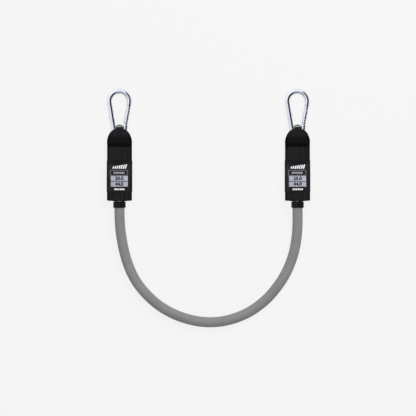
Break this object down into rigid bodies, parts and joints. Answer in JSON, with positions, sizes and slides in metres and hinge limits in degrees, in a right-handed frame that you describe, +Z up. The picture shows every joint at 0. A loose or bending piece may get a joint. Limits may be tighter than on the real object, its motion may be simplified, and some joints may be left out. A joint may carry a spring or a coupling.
{
  "type": "resistance tube",
  "caption": "Hollow elastic exercise tube with webbing end straps, captive eyelets and sprung snap hooks, lying in a U.",
  "frame": {"origin": "On the plane that the part lies on, midway between the two straps across the part, and midway along the end assemblies, from the collars' mouths to the hooks' wide ends; measured without the free tube.", "axes": "+X from the left end assembly to the right one, +Y from the tube towards the snap hooks, +Z up, out of the label's printed face."},
  "size_m": [0.2512, 0.2931, 0.0196],
  "materials": {
    "tube_rubber": "satin",
    "webbing": "matte",
    "label": "satin",
    "thread": "matte",
    "collar_rubber": "matte",
    "plug_nylon": "satin",
    "hook_steel": "gloss",
    "eyelet_steel": "satin",
    "spring_steel": "satin"
  },
  "bodies": {
    "root": {"tube": "tube_rubber", "left_plug": "plug_nylon", "left_collar": "collar_rubber"},
    "left_strap_end": {"left_strap": "webbing", "left_hook_loop": "webbing", "left_needle_thread": "thread", "left_bobbin_thread": "thread", "left_label_sleeve": "label", "left_label_thread": "thread"},
    "left_eyelet_ring": {"left_eyelet": "eyelet_steel"},
    "left_hook": {"left_hook_body": "hook_steel", "left_gate_rivet": "hook_steel"},
    "left_hook_gate": {"left_gate": "hook_steel", "left_latch_pin": "hook_steel", "left_gate_spring": "spring_steel"},
    "left_pusher": {"left_spring_pusher": "spring_steel"},
    "right_end": {"right_plug": "plug_nylon", "right_collar": "collar_rubber"},
    "right_strap_end": {"right_strap": "webbing", "right_hook_loop": "webbing", "right_needle_thread": "thread", "right_bobbin_thread": "thread", "right_label_sleeve": "label", "right_label_thread": "thread"},
    "right_eyelet_ring": {"right_eyelet": "eyelet_steel"},
    "right_hook": {"right_hook_body": "hook_steel", "right_gate_rivet": "hook_steel"},
    "right_hook_gate": {"right_gate": "hook_steel", "right_latch_pin": "hook_steel", "right_gate_spring": "spring_steel"},
    "right_pusher": {"right_spring_pusher": "spring_steel"}
  },
  "joints": [
    {"name": "tube_stretch", "type": "slide", "parent": "root", "child": "right_end", "axis": [1, 0, 0], "range_m": [0, 0.3], "stiffness_N_per_m": 300, "deforming": ["tube"]},
    {"name": "left_strap_swivel", "type": "hinge", "parent": "root", "child": "left_strap_end", "pos_m": [-0.1095, -0.0645, 0.00979], "axis": [0, 1, 0], "continuous": true},
    {"name": "left_hook_swing", "type": "hinge", "parent": "left_strap_end", "child": "left_eyelet_ring", "pos_m": [-0.1095, 0.0168, 0.0064], "axis": [1, 0, 0], "range_deg": [-90, 90], "deforming": ["left_hook_loop"]},
    {"name": "left_hook_turn", "type": "hinge", "parent": "left_eyelet_ring", "child": "left_hook", "pos_m": [-0.1095, 0.02368, 0.00594], "axis": [0, 0.0662, 0.9978], "range_deg": [-30, 30]},
    {"name": "left_gate_hinge", "type": "hinge", "parent": "left_hook", "child": "left_hook_gate", "pos_m": [-0.1016, 0.03227, 0.00537], "axis": [0, 0.0662, 0.9978], "range_deg": [0, 40], "stiffness_Nm_per_rad": 0.04, "springref_deg": -34.38},
    {"name": "left_pusher_slide", "type": "slide", "parent": "left_hook_gate", "child": "left_pusher", "axis": [0.1736, 0.9826, -0.0652], "range_m": [0, 0.00056], "deforming": ["left_gate_spring"]},
    {"name": "right_strap_swivel", "type": "hinge", "parent": "right_end", "child": "right_strap_end", "pos_m": [0.1095, -0.0645, 0.00979], "axis": [0, 1, 0], "continuous": true},
    {"name": "right_hook_swing", "type": "hinge", "parent": "right_strap_end", "child": "right_eyelet_ring", "pos_m": [0.1095, 0.0168, 0.0064], "axis": [1, 0, 0], "range_deg": [-90, 90], "deforming": ["right_hook_loop"]},
    {"name": "right_hook_turn", "type": "hinge", "parent": "right_eyelet_ring", "child": "right_hook", "pos_m": [0.1095, 0.02368, 0.00594], "axis": [0, 0.0662, 0.9978], "range_deg": [-30, 30]},
    {"name": "right_gate_hinge", "type": "hinge", "parent": "right_hook", "child": "right_hook_gate", "pos_m": [0.1174, 0.03227, 0.00537], "axis": [0, 0.0662, 0.9978], "range_deg": [0, 40], "stiffness_Nm_per_rad": 0.04, "springref_deg": -34.38},
    {"name": "right_pusher_slide", "type": "slide", "parent": "right_hook_gate", "child": "right_pusher", "axis": [0.1736, 0.9826, -0.0652], "range_m": [0, 0.00056], "deforming": ["right_gate_spring"]}
  ],
  "couplings": [
    {"joint": "left_pusher_slide", "follows": "left_gate_hinge", "m_per_rad": 0.00078},
    {"joint": "right_pusher_slide", "follows": "right_gate_hinge", "m_per_rad": 0.00078}
  ]
}
